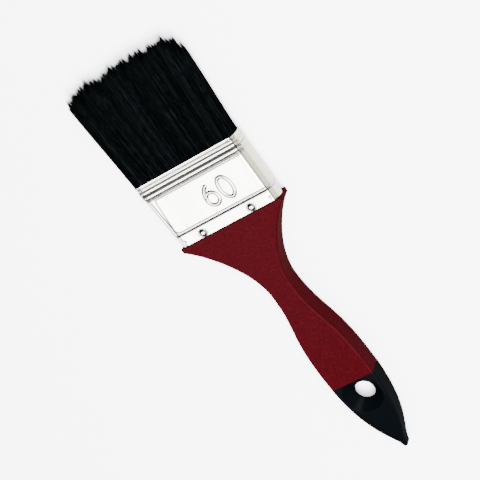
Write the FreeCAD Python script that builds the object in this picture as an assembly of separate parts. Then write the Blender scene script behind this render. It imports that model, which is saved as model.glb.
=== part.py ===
import FreeCAD, Part
import math
import os

# A flat paintbrush lying on its back. +Y points from the handle's end to the bristles, +Z out of the
# front face and +X to the right. The origin is on the surface the brush lies on, under its middle.
# Lengths are in millimetres.

Vector = FreeCAD.Vector

# ---- Overall lengths ----
HANDLE_LENGTH = 151.0        # handle's end to the shoulder under the ferrule
FERRULE_LENGTH = 38.7
BRISTLE_LENGTH = 59.3        # bristle that stands out of the ferrule

# ---- Handle ----
HANDLE_THICKNESS = 11.8
END_THICKNESS = 5.0          # at the very end, after the taper
TAPER_LENGTH = 46.0          # the thickness falls off over this length at the end
TAPER_PULL = 26.0            # how far the side view's curve keeps to full thickness
SHOULDER_HALF_WIDTH = 31.0
SHOULDER_LIP = 2.0           # straight edge of the shoulder
SHOULDER_CORNER = 0.9        # run of its rounded lower corner
SHOULDER_ANGLE = 28.0        # slope at which the outline leaves the shoulder, degrees
NECK_HALF_WIDTH = 6.65
NECK_HEIGHT = 107.5          # from the handle's end
BELLY_HALF_WIDTH = 12.85
BELLY_HEIGHT = 55.0
TIP_RADIUS = 1.2
TIP_ANGLE = 4.0              # how far the outline leans out where it leaves the tip, degrees
HANDLE_EDGE_RADIUS = 0.9
TENON_LENGTH = 14.0          # part of the handle inside the ferrule

# Pulls of the outline's curves at their ends
SHOULDER_PULL = 3.0
NECK_PULL_UP = 20.0
NECK_PULL_DOWN = 21.0
BELLY_PULL_UP = 29.0
BELLY_PULL_DOWN = 39.0
TIP_PULL = 7.4

# ---- Black coat on the handle's end ----
COAT_LENGTH = 47.0
COAT_THICKNESS = 0.5
COAT_PROUD = 0.15            # how far the coat stands out of the red lacquer

# ---- Hanging hole: a short round land with a dish on each face ----
HOLE_HEIGHT = 37.6           # from the handle's end
HOLE_RADIUS = 5.3
HOLE_LAND = 1.6
DISH_RADIUS = 10.6           # at the handle's face
DISH_RIM_RADIUS = 0.4        # rounding of the dish's rim in the coat

# ---- Ferrule: a flat-faced tube with bulged sides ----
SHEET = 0.35
FERRULE_THICKNESS = 10.4     # over the flat panels
FLAT_HALF_WIDTH_LOW = 28.5   # half of the flat face, at the handle end
FLAT_HALF_WIDTH_HIGH = 29.6  # half of the flat face, at the mouth
SIDE_BULGE = 2.5
BAND_LENGTH = 6.2            # pressed-in band that takes the nails
BAND_DEPTH = 0.25
STEP_LENGTH = 1.5            # slope from the band out to the panel
FIRST_BEAD = 30.6            # start of the first bead, from the ferrule's lower edge
BEAD_WIDTH = 2.65
BEAD_HEIGHT = 0.45
BEAD_COUNT = 2
BEAD_STEPS = 6               # flats that round one bead
GROOVE_DEPTH = 0.2           # grooves beside the beads
LIP_FLARE = 0.2

# ---- Nails ----
NAIL_HEIGHT = 2.5            # above the ferrule's lower edge
FRONT_NAIL_SPACING = 30.2
REAR_NAIL_SPACING = 22.0     # set inwards, so that the shanks miss the front nails
NAIL_HEAD_RADIUS = 2.0
NAIL_HEAD_HEIGHT = 0.55
NAIL_SHANK_RADIUS = 0.7
NAIL_LENGTH = 8.0
NAIL_POINT = 1.4

# ---- Inside the ferrule ----
FIT_CLEARANCE = 0.05         # around what the ferrule is pressed on
TENON_GAP = 0.2              # between the tenon and the resin
RESIN_LENGTH = 4.0
PLUG_LENGTH = 14.0
PLUG_THICKNESS = 3.0
PLUG_END_THICKNESS = 2.0
ROOT_RECESS = 1.5            # the solid roots end this far below the ferrule's mouth

# ---- Bristle head, which bends about a line across the ferrule's mouth ----
HINGE_HEIGHT = 3.0           # hinge line above the mouth
HINGE_GAP = 0.3              # round clearance between the roots and the moving bristles
MOUTH_CLEARANCE = 0.3
HEAD_BULGE = 2.4
HEAD_TIP_HALF_WIDTH = 36.0   # flat part of the section at the tips
HEAD_TIP_BULGE = 2.0
HEAD_TIP_THICKNESS = 7.5

# ---- Places along the brush and across it ----
TIP_Y = -(HANDLE_LENGTH + FERRULE_LENGTH + BRISTLE_LENGTH) / 2
SHOULDER_Y = TIP_Y + HANDLE_LENGTH
MOUTH_Y = SHOULDER_Y + FERRULE_LENGTH
BRISTLE_END_Y = MOUTH_Y + BRISTLE_LENGTH
HINGE_Y = MOUTH_Y + HINGE_HEIGHT
HALF_SHEET_OUTSIDE = FERRULE_THICKNESS / 2
MID_Z = max(HANDLE_THICKNESS / 2 + COAT_PROUD, HALF_SHEET_OUTSIDE + BEAD_HEIGHT)
FAR = 500.0


def save(shape, name):
    shape.exportStep("parts/" + name + ".step")


def box(x_low, x_high, y_low, y_high, z_low, z_high):
    corner = Vector(x_low, y_low, z_low)
    return Part.makeBox(x_high - x_low, y_high - y_low, z_high - z_low, corner)


def below(y):
    """Everything on the handle's side of y."""
    return box(-FAR, FAR, y - FAR, y, -FAR, FAR)


def above(y):
    """Everything on the bristles' side of y."""
    return box(-FAR, FAR, y, y + FAR, -FAR, FAR)


def in_front():
    """Everything in front of the middle plane."""
    return box(-FAR, FAR, -FAR, FAR, MID_Z, MID_Z + FAR)


def behind():
    """Everything behind the middle plane."""
    return box(-FAR, FAR, -FAR, FAR, MID_Z - FAR, MID_Z)


def bezier(*poles):
    curve = Part.BezierCurve()
    curve.setPoles(list(poles))
    return curve.toShape()


# ---- Handle ----

def tip_centre():
    return Vector(0, TIP_Y + TIP_RADIUS + COAT_PROUD, 0)


def half_outline(grow):
    """Right half of the handle's outline, from the shoulder to the tip, moved out by grow."""
    slope = math.radians(SHOULDER_ANGLE)
    lean = math.radians(TIP_ANGLE)
    shoulder_x = SHOULDER_HALF_WIDTH + grow
    neck_x = NECK_HALF_WIDTH + grow
    belly_x = BELLY_HALF_WIDTH + grow
    neck_y = TIP_Y + NECK_HEIGHT
    belly_y = TIP_Y + BELLY_HEIGHT
    lip_end = Vector(shoulder_x, SHOULDER_Y - SHOULDER_LIP, 0)
    leave_x = shoulder_x - SHOULDER_CORNER
    leave_y = SHOULDER_Y - SHOULDER_LIP - SHOULDER_CORNER
    leave = Vector(leave_x, leave_y, 0)
    corner = Vector(shoulder_x, leave_y + SHOULDER_CORNER * math.tan(slope), 0)
    neck = Vector(neck_x, neck_y, 0)
    belly = Vector(belly_x, belly_y, 0)
    tip = tip_centre() + Vector(math.cos(lean), -math.sin(lean), 0) * (TIP_RADIUS + grow)
    from_shoulder = Vector(-math.cos(slope), -math.sin(slope), 0) * SHOULDER_PULL
    from_tip = Vector(math.sin(lean), math.cos(lean), 0) * TIP_PULL
    return [
        Part.makeLine(Vector(shoulder_x, SHOULDER_Y, 0), lip_end),
        bezier(lip_end, corner, leave),
        bezier(leave, leave + from_shoulder, neck + Vector(0, NECK_PULL_UP, 0), neck),
        bezier(neck, neck - Vector(0, NECK_PULL_DOWN, 0), belly + Vector(0, BELLY_PULL_UP, 0), belly),
        bezier(belly, belly - Vector(0, BELLY_PULL_DOWN, 0), tip + from_tip, tip),
    ]


def outline_prism(grow):
    """The handle's outline as a plate much thicker than the handle."""
    right = half_outline(grow)
    left = [edge.mirror(Vector(0, 0, 0), Vector(1, 0, 0)) for edge in right]
    side = right[-1].Vertexes[-1].Point
    end = tip_centre() - Vector(0, TIP_RADIUS + grow, 0)
    nub = Part.Arc(side, end, Vector(-side.x, side.y, 0)).toShape()
    shoulder_x = SHOULDER_HALF_WIDTH + grow
    top = Part.makeLine(Vector(-shoulder_x, SHOULDER_Y, 0), Vector(shoulder_x, SHOULDER_Y, 0))
    edges = Part.__sortEdges__(right + [nub] + left + [top])
    face = Part.Face(Part.Wire(edges))
    face.translate(Vector(0, 0, MID_Z - HANDLE_THICKNESS))
    return face.extrude(Vector(0, 0, 2 * HANDLE_THICKNESS))


def side_prism(grow):
    """The handle's side view, full thickness and then tapered to the end, as a wide block."""
    full = HANDLE_THICKNESS / 2 + grow
    end = END_THICKNESS / 2 + grow
    taper_y = TIP_Y + TAPER_LENGTH
    end_y = TIP_Y - TIP_RADIUS
    front = bezier(Vector(0, taper_y, full), Vector(0, taper_y - TAPER_PULL, full), Vector(0, end_y, end))
    back = front.mirror(Vector(0, 0, 0), Vector(0, 0, 1))
    end_line = Part.makeLine(Vector(0, end_y, end), Vector(0, end_y, -end))
    shoulder_line = Part.makeLine(Vector(0, SHOULDER_Y, full), Vector(0, SHOULDER_Y, -full))
    front_line = Part.makeLine(Vector(0, taper_y, full), Vector(0, SHOULDER_Y, full))
    back_line = Part.makeLine(Vector(0, taper_y, -full), Vector(0, SHOULDER_Y, -full))
    edges = Part.__sortEdges__([front, back, end_line, shoulder_line, front_line, back_line])
    face = Part.Face(Part.Wire(edges))
    face.translate(Vector(-FAR / 2, 0, MID_Z))
    return face.extrude(Vector(FAR, 0, 0))


def runs_along_the_handle(edge):
    """False for the edges that stand upright or run straight across the handle."""
    return edge.BoundBox.YLength > SHOULDER_CORNER / 10


def handle_body(grow):
    """The handle without its tenon, with rounded long edges."""
    body = outline_prism(grow).common(side_prism(grow)).removeSplitter()
    edges = [edge for edge in body.Edges if runs_along_the_handle(edge)]
    return body.makeFillet(HANDLE_EDGE_RADIUS + grow, edges)


def hanging_hole(grow):
    """The double-dished hole as a solid to cut away, widened by grow."""
    half_land = HOLE_LAND / 2
    half_face = HANDLE_THICKNESS / 2
    slope = (DISH_RADIUS - HOLE_RADIUS) / (half_face - half_land)
    high = HANDLE_THICKNESS
    radius = HOLE_RADIUS + grow
    rim = radius + slope * (high - half_land)
    profile = Part.makePolygon([
        Vector(0, 0, -high),
        Vector(rim, 0, -high),
        Vector(radius, 0, -half_land),
        Vector(radius, 0, half_land),
        Vector(rim, 0, high),
        Vector(0, 0, high),
        Vector(0, 0, -high),
    ])
    cutter = Part.Face(profile).revolve(Vector(0, 0, 0), Vector(0, 0, 1), 360)
    cutter.translate(Vector(0, TIP_Y + HOLE_HEIGHT, MID_Z))
    return cutter


def coated_core():
    """The wood under the black coat, with the hole that the coat lines."""
    core = handle_body(COAT_PROUD - COAT_THICKNESS).cut(hanging_hole(COAT_THICKNESS))
    return core.common(below(TIP_Y + COAT_LENGTH))


def handle(nails):
    """The wooden handle with its tenon, and holes that the nail shanks fill."""
    red_part = handle_body(0).common(above(TIP_Y + COAT_LENGTH))
    tenon = ferrule_inside(SHOULDER_Y, SHOULDER_Y + TENON_LENGTH)
    wood = red_part.fuse([coated_core(), tenon]).removeSplitter()
    return wood.cut(nails)


def bounds_a_dish(edge):
    """True for the edges where a dish meets the handle's face."""
    axis = Vector(0, TIP_Y + HOLE_HEIGHT, 0)
    reaches = [math.hypot(point.x - axis.x, point.y - axis.y) for point in edge.discretize(9)]
    half_way = (HOLE_RADIUS + DISH_RADIUS) / 2
    return min(reaches) > half_way and max(reaches) < DISH_RADIUS + HOLE_LAND


def end_coat():
    """The black coat over the handle's end and through its hole."""
    pierced = handle_body(COAT_PROUD).cut(hanging_hole(0))
    rims = [edge for edge in pierced.Edges if bounds_a_dish(edge)]
    outside = pierced.makeFillet(DISH_RIM_RADIUS, rims)
    return outside.common(below(TIP_Y + COAT_LENGTH)).cut(coated_core())


# ---- Ferrule ----

def flat_half_width(y):
    share = (y - SHOULDER_Y) / FERRULE_LENGTH
    return FLAT_HALF_WIDTH_LOW + (FLAT_HALF_WIDTH_HIGH - FLAT_HALF_WIDTH_LOW) * share


def slot_section(y, flat, bulge, half_thickness, offset):
    """A closed section at y: flat front and back with bulged sides, moved out evenly by offset."""
    radius = (half_thickness ** 2 + bulge ** 2) / (2 * bulge)
    centre_x = flat + bulge - radius
    half = half_thickness + offset
    corner_x = centre_x + math.sqrt((radius + offset) ** 2 - half ** 2)
    side_x = flat + bulge + offset
    front_right = Vector(corner_x, y, MID_Z + half)
    front_left = Vector(-corner_x, y, MID_Z + half)
    back_right = Vector(corner_x, y, MID_Z - half)
    back_left = Vector(-corner_x, y, MID_Z - half)
    return Part.Wire([
        Part.makeLine(front_left, front_right),
        Part.Arc(front_right, Vector(side_x, y, MID_Z), back_right).toShape(),
        Part.makeLine(back_right, back_left),
        Part.Arc(back_left, Vector(-side_x, y, MID_Z), front_left).toShape(),
    ])


def ferrule_section(y, offset):
    return slot_section(y, flat_half_width(y), SIDE_BULGE, HALF_SHEET_OUTSIDE, offset)


def ferrule_stations():
    """Height above the lower edge, and how far the outside stands out of the panel there."""
    stations = [
        (0, -BAND_DEPTH),
        (BAND_LENGTH, -BAND_DEPTH),
        (BAND_LENGTH + STEP_LENGTH, 0),
        (FIRST_BEAD - BEAD_WIDTH / 2, 0),
        (FIRST_BEAD, -GROOVE_DEPTH),
    ]
    for bead in range(BEAD_COUNT):
        for step in range(1, BEAD_STEPS + 1):
            share = step / BEAD_STEPS
            height = FIRST_BEAD + BEAD_WIDTH * (bead + share)
            stations.append((height, -GROOVE_DEPTH + (BEAD_HEIGHT + GROOVE_DEPTH) * math.sin(math.pi * share)))
    stations.append((FERRULE_LENGTH, LIP_FLARE))
    return stations


def ferrule_loft(offset, overrun):
    """The ferrule's outside as a solid, moved out by offset and run on past both ends by overrun."""
    stations = ferrule_stations()
    heights = [height for height, stand in stations]
    stands = [stand for height, stand in stations]
    heights[0] = heights[0] - overrun
    heights[-1] = heights[-1] + overrun
    wires = [
        ferrule_section(SHOULDER_Y + height, stand + offset)
        for height, stand in zip(heights, stands)
    ]
    return Part.makeLoft(wires, True, True)


def ferrule(nails):
    """The sheet-metal ferrule with the nails' holes."""
    shell = ferrule_loft(0, 0).cut(ferrule_loft(-SHEET, 1))
    return shell.cut(nails)


def ferrule_inside(y_low, y_high):
    """A solid that fills the ferrule between two heights and clears its pressed-in band."""
    offset = -(BAND_DEPTH + SHEET + FIT_CLEARANCE)
    low = ferrule_section(y_low, offset)
    high = ferrule_section(y_high, offset)
    return Part.makeLoft([low, high], True, True)


# ---- Nails ----

def nail(x, side):
    """One nail with a domed head on the ferrule's band. side is 1 for the front and -1 for the back."""
    dome_radius = (NAIL_HEAD_RADIUS ** 2 + NAIL_HEAD_HEIGHT ** 2) / (2 * NAIL_HEAD_HEIGHT)
    dome = Part.makeSphere(dome_radius, Vector(0, 0, NAIL_HEAD_HEIGHT - dome_radius))
    head = dome.common(box(-FAR, FAR, -FAR, FAR, 0, FAR))
    shank_length = NAIL_LENGTH - NAIL_POINT
    shank = Part.makeCylinder(NAIL_SHANK_RADIUS, shank_length, Vector(0, 0, -shank_length))
    point = Part.makeCone(0, NAIL_SHANK_RADIUS, NAIL_POINT, Vector(0, 0, -NAIL_LENGTH))
    made = head.fuse([shank, point]).removeSplitter()
    if side < 0:
        made.rotate(Vector(0, 0, 0), Vector(1, 0, 0), 180)
    band_z = MID_Z + side * (HALF_SHEET_OUTSIDE - BAND_DEPTH)
    made.translate(Vector(x, SHOULDER_Y + NAIL_HEIGHT, band_z))
    return made


def nails():
    """The four nails by name."""
    return {
        "front_left_nail": nail(-FRONT_NAIL_SPACING / 2, 1),
        "front_right_nail": nail(FRONT_NAIL_SPACING / 2, 1),
        "rear_left_nail": nail(-REAR_NAIL_SPACING / 2, -1),
        "rear_right_nail": nail(REAR_NAIL_SPACING / 2, -1),
    }


# ---- Setting inside the ferrule ----

RESIN_Y = SHOULDER_Y + TENON_LENGTH + TENON_GAP
ROOT_Y = RESIN_Y + RESIN_LENGTH


def epoxy_setting():
    return ferrule_inside(RESIN_Y, ROOT_Y)


def spacer_plug():
    """The strip between the two layers of roots, thinner towards the bristles."""
    thick = PLUG_THICKNESS / 2
    thin = PLUG_END_THICKNESS / 2
    end_y = ROOT_Y + PLUG_LENGTH
    profile = Part.makePolygon([
        Vector(-FAR / 2, ROOT_Y, MID_Z - thick),
        Vector(-FAR / 2, end_y, MID_Z - thin),
        Vector(-FAR / 2, end_y, MID_Z + thin),
        Vector(-FAR / 2, ROOT_Y, MID_Z + thick),
        Vector(-FAR / 2, ROOT_Y, MID_Z - thick),
    ])
    strip = Part.Face(profile).extrude(Vector(FAR, 0, 0))
    return strip.common(ferrule_inside(ROOT_Y, end_y))


def across_cylinder(radius):
    """A cylinder along the hinge line."""
    start = Vector(-FAR / 2, HINGE_Y, MID_Z)
    return Part.makeCylinder(radius, FAR, start, Vector(1, 0, 0))


def head_half_thickness():
    """Half of the moving bristles' thickness where they leave the ferrule."""
    return HALF_SHEET_OUTSIDE - BAND_DEPTH - SHEET - MOUTH_CLEARANCE


def bristle_roots(half_space):
    """The filaments inside the ferrule, on one side of the middle plane."""
    roots = ferrule_inside(ROOT_Y, MOUTH_Y - ROOT_RECESS)
    roots = roots.cut([spacer_plug(), across_cylinder(head_half_thickness() + HINGE_GAP)])
    return roots.common(half_space)


# ---- Moving bristles ----

def bristle_head():
    """The free bristles: a tapered block with a round root that turns inside the ferrule's mouth."""
    half = head_half_thickness()
    flat = flat_half_width(MOUTH_Y) - SHEET
    low = slot_section(HINGE_Y, flat, HEAD_BULGE, half, 0)
    high = slot_section(BRISTLE_END_Y, HEAD_TIP_HALF_WIDTH, HEAD_TIP_BULGE, HEAD_TIP_THICKNESS / 2, 0)
    block = Part.makeLoft([low, high], True, True)
    narrow = flat - MOUTH_CLEARANCE
    root = across_cylinder(half).common(box(-narrow, narrow, HINGE_Y - half, HINGE_Y, -FAR, FAR))
    return block.fuse(root).removeSplitter()


def bristles(half_space):
    return bristle_head().common(half_space)


os.makedirs("parts", exist_ok=True)
all_nails = nails()
for name, shape in all_nails.items():
    save(shape, name)
save(handle(list(all_nails.values())), "handle")
save(end_coat(), "handle_end_coat")
save(ferrule(list(all_nails.values())), "ferrule")
save(epoxy_setting(), "epoxy_setting")
save(spacer_plug(), "spacer_plug")
save(bristle_roots(in_front()), "front_bristle_roots")
save(bristle_roots(behind()), "rear_bristle_roots")
save(bristles(in_front()), "front_bristles")
save(bristles(behind()), "rear_bristles")
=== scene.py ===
import math
import random

import bpy
from mathutils import Matrix, Vector


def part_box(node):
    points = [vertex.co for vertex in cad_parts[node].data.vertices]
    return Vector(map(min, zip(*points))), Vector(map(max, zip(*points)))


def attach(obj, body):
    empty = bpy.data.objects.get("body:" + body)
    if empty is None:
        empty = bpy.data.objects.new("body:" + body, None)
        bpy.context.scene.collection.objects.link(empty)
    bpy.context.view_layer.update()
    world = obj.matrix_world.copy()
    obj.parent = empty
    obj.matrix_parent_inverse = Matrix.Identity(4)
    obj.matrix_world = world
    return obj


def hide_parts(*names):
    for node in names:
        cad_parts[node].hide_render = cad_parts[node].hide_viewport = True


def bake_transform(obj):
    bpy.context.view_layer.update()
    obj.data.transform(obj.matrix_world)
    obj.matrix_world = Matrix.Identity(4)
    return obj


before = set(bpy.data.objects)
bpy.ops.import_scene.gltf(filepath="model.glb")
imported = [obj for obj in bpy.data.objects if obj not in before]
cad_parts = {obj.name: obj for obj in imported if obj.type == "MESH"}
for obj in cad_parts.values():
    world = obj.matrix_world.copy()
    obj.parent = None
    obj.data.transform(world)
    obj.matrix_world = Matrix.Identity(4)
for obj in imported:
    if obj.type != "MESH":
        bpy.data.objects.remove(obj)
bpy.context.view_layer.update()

# A flat paintbrush. The CAD pieces get their finishes, and detailed meshes replace the ferrule, the nails and
# the two blocks of bristle. Lengths are in millimetres in the part's frame, except where a comment says
# metres, and MM turns them into Blender's metres.
MM = 0.001

# ---- Places from the frame ----

ferrule_low, ferrule_high = (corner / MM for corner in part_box("ferrule"))
SHOULDER_Y = ferrule_low.y
MOUTH_Y = ferrule_high.y
FERRULE_LENGTH = MOUTH_Y - SHOULDER_Y
MID_Z = (ferrule_low.z + ferrule_high.z) / 2
BRISTLE_END_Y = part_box("front_bristles")[1].y / MM

# One seed for every random draw, so that each run gives the same brush.
random.seed(11)


# ---- Node helpers ----

def new_material(name):
    """A new material, its node tree and its Principled shader."""
    material = bpy.data.materials.new(name)
    material.use_nodes = True
    tree = material.node_tree
    shader = next(node for node in tree.nodes if node.type == "BSDF_PRINCIPLED")
    return material, tree, shader


def add(tree, kind, **values):
    """A new node with the named inputs set."""
    node = tree.nodes.new(kind)
    for name, value in values.items():
        node.inputs[name].default_value = value
    return node


def object_coordinates(tree, stretch=(1, 1, 1)):
    coordinates = tree.nodes.new("ShaderNodeTexCoord")
    mapping = add(tree, "ShaderNodeMapping", Scale=stretch)
    tree.links.new(coordinates.outputs["Object"], mapping.inputs["Vector"])
    return mapping.outputs["Vector"]


def noise(tree, vector, scale, detail=2.0, roughness=0.5):
    node = add(tree, "ShaderNodeTexNoise", Scale=scale, Detail=detail, Roughness=roughness)
    tree.links.new(vector, node.inputs["Vector"])
    return node.outputs["Fac"]


def ramp(tree, factor, stops):
    """A colour ramp over stops of (position, colour)."""
    node = tree.nodes.new("ShaderNodeValToRGB")
    elements = node.color_ramp.elements
    elements[0].position, elements[0].color = stops[0][0], stops[0][1]
    elements[1].position, elements[1].color = stops[-1][0], stops[-1][1]
    for position, colour in stops[1:-1]:
        elements.new(position).color = colour
    tree.links.new(factor, node.inputs["Fac"])
    return node.outputs["Color"]


def attribute(tree, name):
    """A number that the mesh holds at each of its points."""
    node = tree.nodes.new("ShaderNodeAttribute")
    node.attribute_name = name
    return node.outputs["Fac"]


def bump(tree, shader, height, strength, distance):
    node = add(tree, "ShaderNodeBump", Strength=strength, Distance=distance)
    tree.links.new(height, node.inputs["Height"])
    tree.links.new(node.outputs["Normal"], shader.inputs["Normal"])


# ---- Materials ----

def red_lacquer():
    material, tree, shader = new_material("red_lacquer")
    vector = object_coordinates(tree)
    mottle = noise(tree, vector, 1300.0, 3.0, 0.7)
    colour = ramp(tree, mottle, [
        (0.32, (0.0064, 0.0001, 0.0004, 1)),
        (0.52, (0.0108, 0.0002, 0.0007, 1)),
        (0.72, (0.0170, 0.0004, 0.0013, 1)),
    ])
    tree.links.new(colour, shader.inputs["Base Color"])
    shader.inputs["Roughness"].default_value = 0.5
    shader.inputs["Specular IOR Level"].default_value = 0.0
    shader.inputs["Coat Weight"].default_value = 0.012
    shader.inputs["Coat Roughness"].default_value = 0.3
    bump(tree, shader, noise(tree, vector, 1600.0, 2.0, 0.6), 0.35, 0.00012)
    return material


def black_coat():
    material, tree, shader = new_material("black_coat")
    vector = object_coordinates(tree)
    shader.inputs["Base Color"].default_value = (0.0004, 0.0006, 0.0008, 1)
    shader.inputs["Roughness"].default_value = 0.5
    shader.inputs["Specular IOR Level"].default_value = 0.0
    shader.inputs["Coat Weight"].default_value = 0.011
    shader.inputs["Coat Roughness"].default_value = 0.28
    bump(tree, shader, noise(tree, vector, 260.0, 1.0, 0.4), 0.08, 0.0004)
    return material


def tinned_sheet():
    """Tinned steel with painted shade in its colour: warmer and darker over its bulged sides, and black in
    its grooves, along its edges and round its nails, as painted shade and painted dark reflections.
    """
    material, tree, shader = new_material("tinned_sheet")
    vector = object_coordinates(tree, (1, 0.12, 1))
    # Painted shade: the mesh's numbers darken the metal's colour towards black.
    colour = ramp(tree, attribute(tree, "painted_shade"), [
        (0.0, (0.44, 0.43, 0.398, 1)),
        (0.1, (0.35, 0.33, 0.25, 1)),
        (0.2, (0.31, 0.305, 0.29, 1)),
        (1.0, (0.006, 0.006, 0.006, 1)),
    ])
    tree.links.new(colour, shader.inputs["Base Color"])
    shader.inputs["Metallic"].default_value = 1.0
    shade = ramp(tree, noise(tree, vector, 220.0, 3.0, 0.6), [
        (0.3, (0.17, 0.17, 0.17, 1)),
        (0.7, (0.27, 0.27, 0.27, 1)),
    ])
    tree.links.new(shade, shader.inputs["Roughness"])
    bump(tree, shader, noise(tree, vector, 160.0, 1.0, 0.4), 0.05, 0.0005)
    return material


def nail_steel():
    material, tree, shader = new_material("nail_steel")
    vector = object_coordinates(tree)
    # Painted shade: the mesh's numbers paint the rim of the nail's head dark round a bright middle.
    colour = ramp(tree, attribute(tree, "painted_shade"), [
        (0.0, (0.42, 0.41, 0.39, 1)),
        (1.0, (0.012, 0.012, 0.012, 1)),
    ])
    tree.links.new(colour, shader.inputs["Base Color"])
    shader.inputs["Metallic"].default_value = 1.0
    shader.inputs["Roughness"].default_value = 0.28
    bump(tree, shader, noise(tree, vector, 900.0, 1.0, 0.4), 0.1, 0.0001)
    return material


def filament():
    """Black filament: each strand has its own tone, and streaks run along it."""
    material, tree, shader = new_material("filament")
    streaks = noise(tree, object_coordinates(tree, (1, 0.1, 1)), 2200.0, 2.0, 0.6)
    # The shade is streaks * tone - 0.35 + streaks.
    toned = tree.nodes.new("ShaderNodeMath")
    toned.operation = "MULTIPLY_ADD"
    toned.inputs[2].default_value = -0.35
    tree.links.new(streaks, toned.inputs[0])
    tree.links.new(attribute(tree, "tone"), toned.inputs[1])
    shade = tree.nodes.new("ShaderNodeMath")
    shade.operation = "ADD"
    tree.links.new(toned.outputs["Value"], shade.inputs[0])
    tree.links.new(streaks, shade.inputs[1])
    colour = ramp(tree, shade.outputs["Value"], [
        (0.05, (0.0000, 0.0001, 0.0001, 1)),
        (0.35, (0.00015, 0.00025, 0.0003, 1)),
        (0.75, (0.0016, 0.0022, 0.0026, 1)),
    ])
    tree.links.new(colour, shader.inputs["Base Color"])
    shader.inputs["Roughness"].default_value = 0.5
    shader.inputs["Specular IOR Level"].default_value = 0.0
    shader.inputs["Coat Weight"].default_value = 0.004
    shader.inputs["Coat Roughness"].default_value = 0.35
    return material


def filament_core():
    material, tree, shader = new_material("filament_core")
    vector = object_coordinates(tree, (1, 0.03, 1))
    colour = ramp(tree, noise(tree, vector, 2500.0, 2.0, 0.5), [
        (0.35, (0.0002, 0.0003, 0.0004, 1)),
        (0.70, (0.0006, 0.0007, 0.0009, 1)),
    ])
    tree.links.new(colour, shader.inputs["Base Color"])
    shader.inputs["Roughness"].default_value = 0.7
    shader.inputs["Specular IOR Level"].default_value = 0.0
    return material


def resin():
    material, tree, shader = new_material("resin")
    vector = object_coordinates(tree)
    colour = ramp(tree, noise(tree, vector, 300.0), [
        (0.3, (0.26, 0.15, 0.045, 1)),
        (0.7, (0.36, 0.23, 0.075, 1)),
    ])
    tree.links.new(colour, shader.inputs["Base Color"])
    shader.inputs["Roughness"].default_value = 0.25
    return material


def bare_wood():
    material, tree, shader = new_material("bare_wood")
    vector = object_coordinates(tree, (1, 0.08, 1))
    colour = ramp(tree, noise(tree, vector, 500.0, 3.0, 0.6), [
        (0.3, (0.42, 0.29, 0.16, 1)),
        (0.7, (0.60, 0.45, 0.28, 1)),
    ])
    tree.links.new(colour, shader.inputs["Base Color"])
    shader.inputs["Roughness"].default_value = 0.6
    return material


def pale_floor():
    material, tree, shader = new_material("pale_floor")
    shader.inputs["Base Color"].default_value = (0.65, 0.65, 0.65, 1)
    shader.inputs["Roughness"].default_value = 0.9
    shader.inputs["Specular IOR Level"].default_value = 0.1
    return material


# ---- Mesh helpers ----

def mesh_object(name, points, faces, material, smooth_angle=35.0):
    """A new object from points in millimetres."""
    mesh = bpy.data.meshes.new(name)
    mesh.from_pydata([Vector(point) * MM for point in points], [], faces)
    mesh.materials.append(material)
    mesh.shade_smooth()
    mesh.set_sharp_from_angle(angle=math.radians(smooth_angle))
    mesh.validate()
    made = bpy.data.objects.new(name, mesh)
    bpy.context.scene.collection.objects.link(made)
    return made


def give_numbers(made, name, values):
    """Stores one number at each point, for a material to read."""
    made.data.attributes.new(name, "FLOAT", "POINT").data.foreach_set("value", values)


def joined_rings(levels, count, closed=False):
    """Faces between rings of count points each. Closed, the last ring is joined to the first too."""
    faces = []
    for level in range(levels if closed else levels - 1):
        here = level * count
        there = (level + 1) % levels * count
        for step in range(count):
            after = (step + 1) % count
            faces.append((here + step, there + step, there + after, here + after))
    return faces


def ease(share):
    """A smooth step from 0 to 1."""
    share = min(max(share, 0.0), 1.0)
    return share * share * (3 - 2 * share)


def between(low, high, share):
    return low + (high - low) * share


# ---- Ferrule ----

# The sheet, the band, the step, the beads and the lip have the CAD part's sizes.
FLAT_LOW = 28.5           # half of the flat face at the handle's end
FLAT_HIGH = 29.6          # and at the mouth
BULGE = 2.5               # of the sides
SHEET = 0.35
BAND_LENGTH = 6.2
BAND_DEPTH = 0.25
STEP_LENGTH = 1.5
FIRST_BEAD = 30.6
BEAD_WIDTH = 2.65
BEAD_COUNT = 2
BEAD_HEIGHT = 0.45
BEAD_ROUNDNESS = 0.45     # under 1: a broad bead with narrow valleys beside it
BEADS_END = FIRST_BEAD + BEAD_COUNT * BEAD_WIDTH
GROOVE_DEPTH = 0.2
LIP_FLARE = 0.2
HALF_THICKNESS = (ferrule_high.z - ferrule_low.z) / 2 - BEAD_HEIGHT     # over the flat panels

PANEL_GAP = 0.2           # between the step and the panel
PANEL_LOW = BAND_LENGTH + STEP_LENGTH + PANEL_GAP
PANEL_TOP = 29.3
PANEL_LEFT_LOW = 27.8     # the panel's left border is this far from the middle at its foot
PANEL_LEFT_TOP = 25.6     # and this far at its top
PANEL_CORNER = 3.0
PANEL_RISE = 0.14
PANEL_EDGE = 0.9

DIMPLE_X = 26.7
DIMPLE_HEIGHT = 2.4
DIMPLE_DEPTH = 0.22
DIMPLE_RADIUS = 1.1
CREASE_INSET = 0.9
CREASE_DEPTH = 0.2
CREASE_WIDTH = 0.55

NAIL_HEIGHT = 2.5
FRONT_NAIL_SPACING = 30.2
REAR_NAIL_SPACING = 22.0

# Painted shade: dark lines painted across the sheet at its grooves and steps: how dark, where, and half their
# width.
GROOVE_LINES = (
    (1.0, BAND_LENGTH + 0.3, 0.58),
    (0.7, PANEL_LOW + 0.2, 0.35),
    (0.4, PANEL_TOP + 0.1, 0.3),
    (1.0, FIRST_BEAD, 0.34),
    (0.95, FIRST_BEAD + BEAD_WIDTH, 0.26),
    (0.6, BEADS_END, 0.24),
)
# Painted shade that darkens and warms the bulged sides all over.
SIDE_PAINTED_SHADE = 0.1        # of the bulged sides, all over
SIDE_LINE_SHARE = 0.6     # the same lines are fainter round the sides
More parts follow.
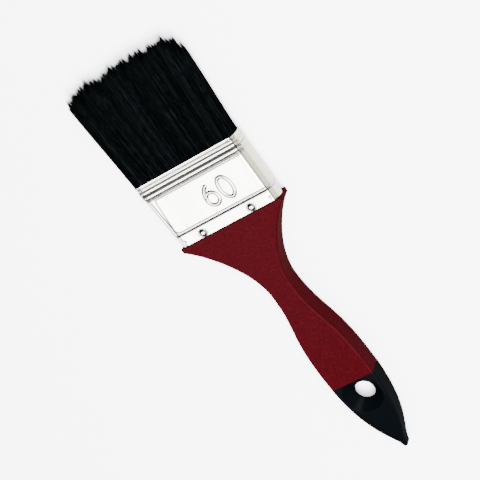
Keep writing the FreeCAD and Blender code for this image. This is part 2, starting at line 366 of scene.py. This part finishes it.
# Painted shade: dark lines painted along the face's edges, along the panel's left border and round the nails.
# An inset is the distance inwards from the edge, and a width is half of the line's.
EDGE_DARK = 0.85
EDGE_INSET = 0.35
EDGE_WIDTH = 0.45
BORDER_DARK = 0.45
BORDER_INSET = 0.4
BORDER_WIDTH = 0.35
NAIL_RING_RADIUS = 2.1
NAIL_RING_WIDTH = 0.55

FACE_STEPS = 40           # points across half of a flat face
SIDE_STEPS = 16           # points round a bulged side
BEAD_STEPS = 14
# Rings of points up the ferrule, by parts: the first ring's height, the spacing and the number of rings.
RING_RUNS = (
    (0.3, 0.3, 21),                                                  # the band
    (BAND_LENGTH, STEP_LENGTH / 8, 9),                               # the step
    (PANEL_LOW, 0.16, 22),                                           # the panel's lower end
    (12.0, 1.2, 14),                                                 # its middle
    (PANEL_TOP - 1.2, 0.15, 14),                                     # its upper end
    (FIRST_BEAD, BEAD_WIDTH / BEAD_STEPS, BEAD_STEPS * BEAD_COUNT + 1),  # the beads
    (36.0, 0.3, 9),                                                  # the lip
)
FIRST_RING = 0.15         # above the lower edge
CLOSEST_RINGS = 0.05


def stand_at(height):
    """How far the ferrule's outside stands out of its panel, at a height above its lower edge."""
    if height <= BAND_LENGTH:
        return -BAND_DEPTH
    if height < BAND_LENGTH + STEP_LENGTH:
        return -BAND_DEPTH * (1 - ease((height - BAND_LENGTH) / STEP_LENGTH))
    groove_start = FIRST_BEAD - BEAD_WIDTH / 2
    if height < groove_start:
        return 0.0
    if height < FIRST_BEAD:
        return -GROOVE_DEPTH * ease((height - groove_start) / (FIRST_BEAD - groove_start))
    if height < BEADS_END:
        share = (height - FIRST_BEAD) / BEAD_WIDTH % 1.0
        return -GROOVE_DEPTH + (BEAD_HEIGHT + GROOVE_DEPTH) * math.sin(math.pi * share) ** BEAD_ROUNDNESS
    return between(-GROOVE_DEPTH, LIP_FLARE, ease((height - BEADS_END) / (FERRULE_LENGTH - BEADS_END)))


def panel_left(height):
    """How far left of the middle the pressed panel begins."""
    return between(PANEL_LEFT_LOW, PANEL_LEFT_TOP, (height - PANEL_LOW) / (PANEL_TOP - PANEL_LOW))


def panel_relief(x, height):
    """The front and back panels are pressed out a little, inside a border that slants in at the left."""
    inside_x = x + panel_left(height)
    inside_y = min(height - PANEL_LOW, PANEL_TOP - height)
    if height < PANEL_LOW + PANEL_CORNER and inside_x < PANEL_CORNER:
        above = max(PANEL_CORNER - (height - PANEL_LOW), 0.0)
        inside = PANEL_CORNER - math.hypot(PANEL_CORNER - inside_x, above)
    else:
        inside = min(inside_x, inside_y)
    return PANEL_RISE * ease(inside / PANEL_EDGE)


def dimples(x, height):
    """A shallow round dent near each end of the band."""
    distance = math.hypot(abs(x) - DIMPLE_X, height - DIMPLE_HEIGHT)
    return -DIMPLE_DEPTH * (1 - ease(distance / DIMPLE_RADIUS))


def crease(x, flat):
    """A shallow groove along each edge of the flat face."""
    return -CREASE_DEPTH * math.exp(-((abs(x) - flat + CREASE_INSET) / CREASE_WIDTH) ** 2)


def line(distance, width):
    """1 on a line and 0 well away from it, with a crisp edge at about its half-width."""
    return math.exp(-(distance / width) ** 4)


def groove_painted_shade(height):
    """How much painted shade darkens the sheet in the grooves that run across it, from 0 to 1."""
    return max(dark * line(height - place, width) for dark, place, width in GROOVE_LINES)


def face_painted_shade(x, height, flat, spacing):
    """The same painted shade on a flat face, with its edges, its panel's border and the rings round its
    nails.
    """
    dark = max(groove_painted_shade(height), EDGE_DARK * line(abs(x) - flat + EDGE_INSET, EDGE_WIDTH))
    if PANEL_LOW < height < PANEL_TOP:
        dark = max(dark, BORDER_DARK * line(x + panel_left(height) - BORDER_INSET, BORDER_WIDTH))
    nail_distance = math.hypot(abs(x) - spacing / 2, height - NAIL_HEIGHT)
    return max(dark, line(nail_distance - NAIL_RING_RADIUS, NAIL_RING_WIDTH))


def ferrule_ring(height, offset, detailed):
    """Points round the ferrule and the painted shade on each, at one height and moved in or out by offset."""
    flat = between(FLAT_LOW, FLAT_HIGH, height / FERRULE_LENGTH)
    radius = (HALF_THICKNESS ** 2 + BULGE ** 2) / (2 * BULGE)
    centre_x = flat + BULGE - radius
    stand = stand_at(height) + offset
    half = HALF_THICKNESS + stand
    reach = radius + stand
    corner_x = centre_x + math.sqrt(reach ** 2 - half ** 2)
    sweep = math.asin(half / reach)
    y = SHOULDER_Y + height
    shares = [math.sin(math.pi / 2 * step / FACE_STEPS) for step in range(-FACE_STEPS, FACE_STEPS + 1)]
    ring = []
    darks = []
    for side, spacing in ((1, FRONT_NAIL_SPACING), (-1, REAR_NAIL_SPACING)):
        for share in shares[:-1]:
            x = share * corner_x * side
            relief = 0.0
            dark = 0.0
            if detailed:
                relief = panel_relief(x, height) + dimples(x, height) + crease(x, flat)
                dark = face_painted_shade(x, height, flat, spacing)
            ring.append((x, y, MID_Z + side * (half + relief)))
            darks.append(dark)
        for step in range(SIDE_STEPS):
            angle = sweep * (1 - 2 * step / SIDE_STEPS)
            x = centre_x + reach * math.cos(angle)
            ring.append((side * x, y, MID_Z + side * reach * math.sin(angle)))
            darks.append(max(SIDE_PAINTED_SHADE, SIDE_LINE_SHARE * groove_painted_shade(height)))
    return ring, darks


def ferrule_heights():
    """Where the ferrule's rings lie. Of two that nearly meet, only the lower one stays."""
    heights = [0.0, FIRST_RING, FERRULE_LENGTH]
    for start, spacing, number in RING_RUNS:
        heights += [start + spacing * step for step in range(number)]
    heights.sort()
    kept = [heights[0]]
    for height in heights[1:]:
        if height - kept[-1] > CLOSEST_RINGS:
            kept.append(height)
    return kept


def ferrule_sheet(material):
    """The whole ferrule as one closed sheet, up the outside and down the inside."""
    heights = ferrule_heights()
    rings = [ferrule_ring(height, 0.0, True) for height in heights]
    rings.append(ferrule_ring(FERRULE_LENGTH, -SHEET, False))
    inside = [height for height in reversed(heights) if height < FERRULE_LENGTH]
    rings += [ferrule_ring(height, -SHEET, False) for height in inside]
    count = len(rings[0][0])
    points = [point for ring, _ in rings for point in ring]
    faces = joined_rings(len(rings), count, closed=True)
    made = mesh_object("ferrule_sheet", points, faces, material)
    # The painted shade goes on the sheet as one number at each point.
    give_numbers(made, "painted_shade", [dark for _, darks in rings for dark in darks])
    return made


# ---- Nails ----

BAND_FACE = HALF_THICKNESS - BAND_DEPTH
NAIL_STEPS = 28
# The nail's outline as (radius, height above the band), from the middle of its head to its point.
NAIL_PROFILE = (
    (0.0, 0.55), (0.5, 0.55), (0.9, 0.51), (1.2, 0.42), (1.5, 0.27), (1.75, 0.1), (1.95, 0.0),
    (0.7, 0.0), (0.7, -6.6), (0.35, -7.3), (0.0, -8.0),
)
# Painted shade: the head's colour is painted dark towards its rim, round a bright middle.
BRIGHT_RADIUS = 0.7       # the head darkens from here outwards
DARKENING = 0.5           # over this width


def nail_shape(name, x, side, material):
    """A nail with a rounded head on the ferrule's band: side is 1 for the front and -1 for the back."""
    centre_y = SHOULDER_Y + NAIL_HEIGHT
    points = []
    darks = []
    for reach, up in NAIL_PROFILE:
        z = MID_Z + side * (BAND_FACE + up)
        for step in range(NAIL_STEPS if reach > 0 else 1):
            angle = 2 * math.pi * step / NAIL_STEPS * side
            points.append((x + reach * math.cos(angle), centre_y + reach * math.sin(angle), z))
            darks.append(ease((reach - BRIGHT_RADIUS) / DARKENING))
    faces = []
    last = len(points) - 1
    for step in range(NAIL_STEPS):
        after = (step + 1) % NAIL_STEPS
        faces.append((0, 1 + step, 1 + after))
        for level in range(len(NAIL_PROFILE) - 3):
            here = 1 + level * NAIL_STEPS
            there = here + NAIL_STEPS
            faces.append((here + step, there + step, there + after, here + after))
        here = last - NAIL_STEPS
        faces.append((here + step, last, here + after))
    made = mesh_object(name, points, faces, material, 50.0)
    # The painted shade on the head goes on as one number at each point.
    give_numbers(made, "painted_shade", darks)
    return made


# ---- Plain number pressed into the front panel ----

RIDGE_HALF_WIDTH = 1.15
RIDGE_HEIGHT = 0.5
RIDGE_LIFT = 0.02         # above the panel
RIDGE_BASE = MID_Z + HALF_THICKNESS + PANEL_RISE + RIDGE_LIFT
# Across and up, as shares of the half-width and the height.
RIDGE_PROFILE = ((-1.0, -0.12), (-0.75, 0.45), (-0.3, 0.85), (0.3, 0.85), (0.75, 0.45), (1.0, -0.12))
# Painted shade on the number's strokes: their sides are painted fully dark and their tops grey.
TOP_PAINTED_SHADE = 0.35        # of a stroke's top: its sides are fully dark
OPEN_END = 0.35           # an open stroke narrows to this share at its ends
NUMBER_FOOT = 12.2        # above the ferrule's lower edge
SIX_X = 1.6
ZERO_X = 11.2
# Half-widths and half-heights of the ovals that the strokes follow.
BOWL = (3.3, 3.6)
STEM = (7.7, 8.2)
ZERO = (3.5, 5.9)


def ridge(path, material, name, closed=False):
    """A low rounded ridge on the front panel along a path of (x, y) points."""
    count = len(path)
    points = []
    darks = []
    for index, (x, y) in enumerate(path):
        before = path[index - 1] if index > 0 or closed else path[index]
        after = path[(index + 1) % count] if index < count - 1 or closed else path[index]
        along = Vector((after[0] - before[0], after[1] - before[1]))
        along.normalize()
        shrink = 1.0
        if not closed and index in (0, count - 1):
            shrink = OPEN_END
        for across, up in RIDGE_PROFILE:
            reach = across * RIDGE_HALF_WIDTH * shrink
            z = RIDGE_BASE + up * RIDGE_HEIGHT * shrink
            points.append((x - along.y * reach, y + along.x * reach, z))
            # Painted shade: dark on the ridge's sides and grey on its top.
            darks.append(between(TOP_PAINTED_SHADE, 1.0, ease((abs(across) - 0.4) / 0.35)))
    wide = len(RIDGE_PROFILE)
    faces = []
    last = count if closed else count - 1
    for index in range(last):
        here = index * wide
        there = (index + 1) % count * wide
        for step in range(wide - 1):
            faces.append((here + step, here + step + 1, there + step + 1, there + step))
        faces.append((here + wide - 1, here, there, there + wide - 1))
    if not closed:
        faces.append(tuple(range(wide)))
        faces.append(tuple(reversed(range((count - 1) * wide, count * wide))))
    made = mesh_object(name, points, faces, material, 60.0)
    give_numbers(made, "painted_shade", darks)
    return made


def oval(centre_x, centre_y, halves, steps, start=0, end=360):
    """Points along an oval between two angles in degrees."""
    path = []
    for step in range(steps + 1):
        angle = math.radians(between(start, end, step / steps))
        path.append((centre_x + halves[0] * math.cos(angle), centre_y + halves[1] * math.sin(angle)))
    return path


def number_strokes(material):
    """The plain size number 60, which stands for the brush's nominal width in millimetres."""
    low = SHOULDER_Y + NUMBER_FOOT
    bowl = oval(SIX_X, low + BOWL[1], BOWL, 40)[:-1]
    stem = oval(SIX_X - BOWL[0] + STEM[0], low + 3.9, STEM, 18, start=180, end=112)
    zero = oval(ZERO_X, low + ZERO[1], ZERO, 48)[:-1]
    return [
        ridge(bowl, material, "size_number_six_bowl", closed=True),
        ridge(stem, material, "size_number_six_stem"),
        ridge(zero, material, "size_number_zero", closed=True),
    ]


# ---- Bristles ----

ROOT_DEPTH = 1.3          # the strands begin this far below the mouth
STRANDS = 3300            # in each half
STRAND_RADIUS = 0.17
STRAND_THINNING = 0.45    # the share of it that is gone at the tip
RINGS = (0.0, 0.06, 0.2, 0.4, 0.62, 0.83, 0.95)     # shares of a strand's length
MIDDLE_REACH = 58.3
TIP_MARGIN = 0.1          # from the longest strands to the end of the CAD's bristles
LONGEST_REACH = BRISTLE_END_Y - MOUTH_Y - TIP_MARGIN

HEAD_HALF_WIDTH = 29.25   # the flat part, at the mouth
HEAD_BULGE = 2.1
HEAD_GROWTH = 4.3         # each side grows by this much towards the tips
GROWTH_START = -8.0       # height above the mouth
GROWTH_LENGTH = 75.0
HEAD_LEAN = 1.7
LEAN_HEIGHT = 50.0        # the lean is full from here up
HALF_DEPTH_ROOT = 4.62
HALF_DEPTH_FULL = 4.95
HALF_DEPTH_TIP = 3.85
FULL_HEIGHT = 3.0         # the head is at its deepest this far above the mouth

LEFT_END_DROP = 5.0       # the bristle is this much shorter at the head's ends
RIGHT_END_DROP = 9.0
# Gaps between tufts: the place across the head, the depth and the width.
NOTCHES = (
    (-0.42, 2.4, 0.030),
    (-0.27, 3.0, 0.018),
    (0.165, 3.2, 0.016),
    (0.45, 2.0, 0.050),
    (-0.70, 1.8, 0.030),
    (0.93, 2.6, 0.020),
)

# Tufts. Places and widths across the head are shares of its half-width, and lengths are in millimetres.
TUFT_SPACING = (0.03, 0.06)
LEFT_EXTRA = (-2.6, 1.2)  # the range of a tuft's extra length
RIGHT_EXTRA = (-1.5, 0.9)
SPIKY_TUFTS_END = 0.15    # the left's range holds up to here
TUFT_RADIUS = 0.018
LEFT_TAPER = 2.8          # a strand at its tuft's radius is this much shorter than one in its middle
RIGHT_TAPER = 1.4
SPIKY_STRANDS_END = 0.1   # the left's taper holds up to here
TIP_SCATTER = 0.45
FACE_DROP = 0.3           # the strands on the faces are this much shorter
SHORT_CHANCE = 0.10       # of a strand that is shorter than its tuft, by SHORT_BY
SHORT_BY = (0.5, 4.0)
LONG_CHANCE = 0.04
LONG_BY = (0.6, 2.2)
GATHER = (0.1, 0.6)       # how far a strand's tip moves towards its tuft's middle
DRIFT = 0.006             # how far it strays across the head
LIFT = 0.03               # and through its depth
WAVE = 0.12               # how far at most it waves sideways

# Where the strands stand, as shares of the half-width and the half-depth.
FACE_WIDTH = 0.99
FACE_DEPTH = 0.28         # the face strands lie this close to a face
END_ZONE = (0.975, 0.995)
INSIDE_WIDTH = 0.98
INSIDE_DEPTH = 0.9


def spread(height):
    """How much the head's half-width has grown at a height above the mouth."""
    return HEAD_GROWTH * ease((height - GROWTH_START) / GROWTH_LENGTH) ** 0.9


def lean(height):
    """The whole head leans a little to the right."""
    return HEAD_LEAN * min(max(height / LEAN_HEIGHT, 0.0), 1.0)


def half_depth(height):
    """Half of the head's depth: it swells out of the mouth and then thins towards the tips."""
    if height < FULL_HEIGHT:
        swell = ease((height + ROOT_DEPTH) / (FULL_HEIGHT + ROOT_DEPTH))
        return between(HALF_DEPTH_ROOT, HALF_DEPTH_FULL, swell)
    thinning = ease((height - FULL_HEIGHT) / (MIDDLE_REACH - FULL_HEIGHT))
    return between(HALF_DEPTH_FULL, HALF_DEPTH_TIP, thinning)


def head_point(u, v, height):
    """A place in the head: u and v run from -1 to 1 across its width and depth."""
    x_limit = HEAD_HALF_WIDTH + spread(height) + HEAD_BULGE * math.sqrt(max(1 - v * v, 0.0))
    return Vector((u * x_limit + lean(height), MOUTH_Y + height, MID_Z + v * half_depth(height)))


def reach_at(u):
    """The length of bristle at u: shorter at both ends of the head, with a few notches between tufts."""
    reach = MIDDLE_REACH - (LEFT_END_DROP * abs(u) ** 9 if u < 0 else RIGHT_END_DROP * u ** 10)
    for centre, depth, width in NOTCHES:
        reach -= depth * math.exp(-((u - centre) / width) ** 2)
    return reach


def tuft_centres():
    """Tufts across the head as (u, extra length). They differ more on the left, where the tips are spiky."""
    centres = []
    u = -1.0
    while u < 1.0:
        extra = random.uniform(*(LEFT_EXTRA if u < SPIKY_TUFTS_END else RIGHT_EXTRA))
        centres.append((u, extra))
        u += random.uniform(*TUFT_SPACING)
    return centres


def strand_reach(u, v, centre, extra):
    """How far a strand stands out of the mouth: a tuft tapers, and a few strands are odd ones."""
    away = abs(u - centre) / TUFT_RADIUS
    taper = LEFT_TAPER if u < SPIKY_STRANDS_END else RIGHT_TAPER
    reach = reach_at(u) + extra - taper * away - abs(random.gauss(0, TIP_SCATTER)) - FACE_DROP * abs(v)
    chance = random.random()
    if chance < SHORT_CHANCE:
        reach -= random.uniform(*SHORT_BY)
    elif chance > 1 - LONG_CHANCE:
        reach += random.uniform(*LONG_BY)
    return min(reach, LONGEST_REACH)


def strand(points, faces, tones, u, v, tufts):
    """Adds one three-sided strand that rises from (u, v) and bends towards its tuft."""
    centre, extra = min(tufts, key=lambda tuft: abs(tuft[0] - u))
    reach = strand_reach(u, v, centre, extra)
    gather = random.uniform(*GATHER)
    drift = random.gauss(0, DRIFT)
    lift = random.gauss(0, LIFT)
    phase = random.uniform(0, 6.28)     # about a full turn
    wave = random.uniform(0.0, WAVE)
    tone = random.random() ** 2
    first = len(points)
    turn = random.uniform(0, 2.09)      # about a third of a turn
    for share in RINGS + (1.0,):
        height = between(-ROOT_DEPTH, reach, share)
        bend = share ** 3
        u_here = u + (centre - u) * gather * bend + drift * bend
        u_here = min(max(u_here, -0.995), 0.995)
        v_here = min(max(v + lift * bend, -0.99), 0.99)
        place = head_point(u_here, v_here, height)
        place.x += wave * math.sin(phase + 5 * share) * share
        if share == 1.0:
            points.append(tuple(place))
            tones.append(tone)
            break
        radius = STRAND_RADIUS * (1 - STRAND_THINNING * share ** 3)
        for corner in range(3):
            angle = turn + 2 * math.pi / 3 * corner
            points.append((place.x + radius * math.cos(angle), place.y, place.z + radius * math.sin(angle)))
            tones.append(tone)
    levels = len(RINGS)
    for level in range(levels - 1):
        here = first + 3 * level
        for corner in range(3):
            after = (corner + 1) % 3
            faces.append((here + corner, here + 3 + corner, here + 3 + after, here + after))
    top = first + 3 * levels
    here = first + 3 * (levels - 1)
    for corner in range(3):
        faces.append((here + corner, top, here + (corner + 1) % 3))
    faces.append((first, first + 1, first + 2))


def filaments(name, side, tufts, material):
    """Half of the bristles: side is 1 for the front half and -1 for the back half.

    Every second strand lies near the face, one in eight lies along an end, and the rest fill the inside.
    """
    points, faces, tones = [], [], []
    for index in range(STRANDS):
        if index % 2 == 0:
            u = random.uniform(-FACE_WIDTH, FACE_WIDTH)
            v = side * (1 - random.random() ** 2 * FACE_DEPTH)
        elif index % 8 == 1:
            u = random.choice((-1, 1)) * random.uniform(*END_ZONE)
            v = side * random.random()
        else:
            u = random.uniform(-INSIDE_WIDTH, INSIDE_WIDTH)
            v = side * random.random() * INSIDE_DEPTH
        strand(points, faces, tones, u, v, tufts)
    made = mesh_object(name, points, faces, material, 80.0)
    give_numbers(made, "tone", tones)
    return made


CORE_HEIGHTS = (-1.2, 1.5, 4, 7, 10, 14, 18, 24, 30, 36, 42, 47, 50)
CORE_WIDTH = 0.965        # shares of the head's width and depth
CORE_DEPTH = 0.84
CORE_STEPS = 20           # points across half of its width
CORE_THINNING = 0.5       # the share of its depth that is gone at its ends
CORE_TOP = 40.0           # rings above this height drop at their ends
CORE_DROP = 7.0


def core_of_bristles(material):
    """A dark body inside the strands, so that no light shows between them."""
    across = [math.sin(math.pi / 2 * step / CORE_STEPS) for step in range(-CORE_STEPS, CORE_STEPS + 1)]
    rings = []
    for height in CORE_HEIGHTS:
        ring = []
        for side in (1, -1):
            for share in across[:-1]:
                u = share * side * CORE_WIDTH
                v = side * CORE_DEPTH * (1 - abs(share) ** 14 * CORE_THINNING)
                drop = CORE_DROP * abs(share) ** 8 if height > CORE_TOP else 0.0
                ring.append(tuple(head_point(u, v, height - drop)))
        rings.append(ring)
    count = len(rings[0])
    points = [point for ring in rings for point in ring]
    faces = joined_rings(len(rings), count)
    half = count // 2
    top = (len(rings) - 1) * count
    for step in range(half - 1):
        front, back = top + step, top + (count - step) % count
        faces.append((front, back, top + (count - step - 1) % count, front + 1))
        low_front, low_back = step, (count - step) % count
        faces.append((low_front, low_front + 1, (count - step - 1) % count, low_back))
    return mesh_object("filament_core", points, faces, material)


# ---- The object ----

red = red_lacquer()
black = black_coat()
tin = tinned_sheet()
steel = nail_steel()
black_filament = filament()
core_filament = filament_core()

FINISHES = {
    "handle": (red, "handle_lacquer"),
    "handle_end_coat": (black, "end_coat"),
    "ferrule": (tin, "ferrule_metal"),
    "front_left_nail": (steel, "nail_metal"),
    "front_right_nail": (steel, "nail_metal"),
    "rear_left_nail": (steel, "nail_metal"),
    "rear_right_nail": (steel, "nail_metal"),
    "epoxy_setting": (resin(), "resin"),
    "spacer_plug": (bare_wood(), "plug_wood"),
    "front_bristle_roots": (core_filament, "filament"),
    "rear_bristle_roots": (core_filament, "filament"),
    "front_bristles": (core_filament, "filament"),
    "rear_bristles": (core_filament, "filament"),
}
for name, (material, slot_name) in FINISHES.items():
    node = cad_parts[name]
    node.data.materials.clear()
    node.data.materials.append(material)

sheet = ferrule_sheet(tin)
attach(sheet, "brush_body")
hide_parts("ferrule")
for side, half, spacing in (("front", 1, FRONT_NAIL_SPACING), ("rear", -1, REAR_NAIL_SPACING)):
    for hand, sign in (("left", -1), ("right", 1)):
        nail = nail_shape(f"{side}_{hand}_nail_shape", sign * spacing / 2, half, steel)
        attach(nail, "brush_body")
        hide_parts(f"{side}_{hand}_nail")
for stroke in number_strokes(tin):
    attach(stroke, "brush_body")

tufts = tuft_centres()
front = filaments("front_filaments", 1, tufts, black_filament)
rear = filaments("rear_filaments", -1, tufts, black_filament)
core = core_of_bristles(core_filament)
for piece in (front, rear, core):
    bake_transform(piece)
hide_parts("front_bristles")
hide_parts("rear_bristles")


# ---- Floor, light and camera ----

FLOOR_SIZE = 4000.0       # half of its side
FLOOR_DROP = 0.02         # below the brush's lowest point
LIGHT_TARGET = Vector((0, 0, 0.006))     # metres


def floor():
    size = FLOOR_SIZE
    points = [(-size, -size, 0), (size, -size, 0), (size, size, 0), (-size, size, 0)]
    made = mesh_object("floor", points, [(0, 1, 2, 3)], pale_floor())
    made.location.z = -FLOOR_DROP * MM


def softbox(name, direction, distance, size, power):
    """A square area light aimed at the middle of the brush: lengths in metres, power in watts."""
    light = bpy.data.lights.new(name, "AREA")
    light.shape = "SQUARE"
    light.size = size
    light.energy = power
    made = bpy.data.objects.new(name, light)
    bpy.context.scene.collection.objects.link(made)
    away = Vector(direction).normalized()
    made.location = LIGHT_TARGET + away * distance
    made.rotation_mode = "QUATERNION"
    made.rotation_quaternion = away.to_track_quat("Z", "Y")


def world_light(strength):
    world = bpy.data.worlds.new("studio")
    world.use_nodes = True
    background = next(node for node in world.node_tree.nodes if node.type == "BACKGROUND")
    background.inputs["Color"].default_value = (1, 1, 1, 1)
    background.inputs["Strength"].default_value = strength
    bpy.context.scene.world = world


CAMERA_PLACE = Vector((0.515450, 0.343859, 0.877653))     # metres, as the target
CAMERA_TARGET = Vector((-0.004051, 0.014964, 0.006050))
CAMERA_ROLL = 0.429       # radians
CAMERA_LENS = 163.93      # millimetres, on a sensor 36 wide


def camera():
    forward = (CAMERA_TARGET - CAMERA_PLACE).normalized()
    level = forward.cross(Vector((0, 0, -1))).normalized()
    upright = level.cross(forward)
    right = level * math.cos(CAMERA_ROLL) + upright * math.sin(CAMERA_ROLL)
    up = upright * math.cos(CAMERA_ROLL) - level * math.sin(CAMERA_ROLL)
    turn = Matrix((right, up, -forward)).transposed()
    data = bpy.data.cameras.new("camera")
    data.sensor_width = 36.0
    data.lens = CAMERA_LENS
    made = bpy.data.objects.new("camera", data)
    bpy.context.scene.collection.objects.link(made)
    made.matrix_world = Matrix.Translation(CAMERA_PLACE) @ turn.to_4x4()
    bpy.context.scene.camera = made


floor()
softbox("key_softbox", (0.2, -0.27, 0.94), distance=1.5, size=1.0, power=210.0)
softbox("camera_softbox", (0.487, 0.308, 0.817), distance=1.6, size=0.7, power=120.0)
softbox("side_card", (0.85, -0.3, 0.3), distance=1.2, size=0.6, power=5.0)
softbox("ferrule_card", (-0.588, -0.294, 1.0), distance=1.2, size=0.45, power=17.0)
world_light(strength=0.35)
camera()
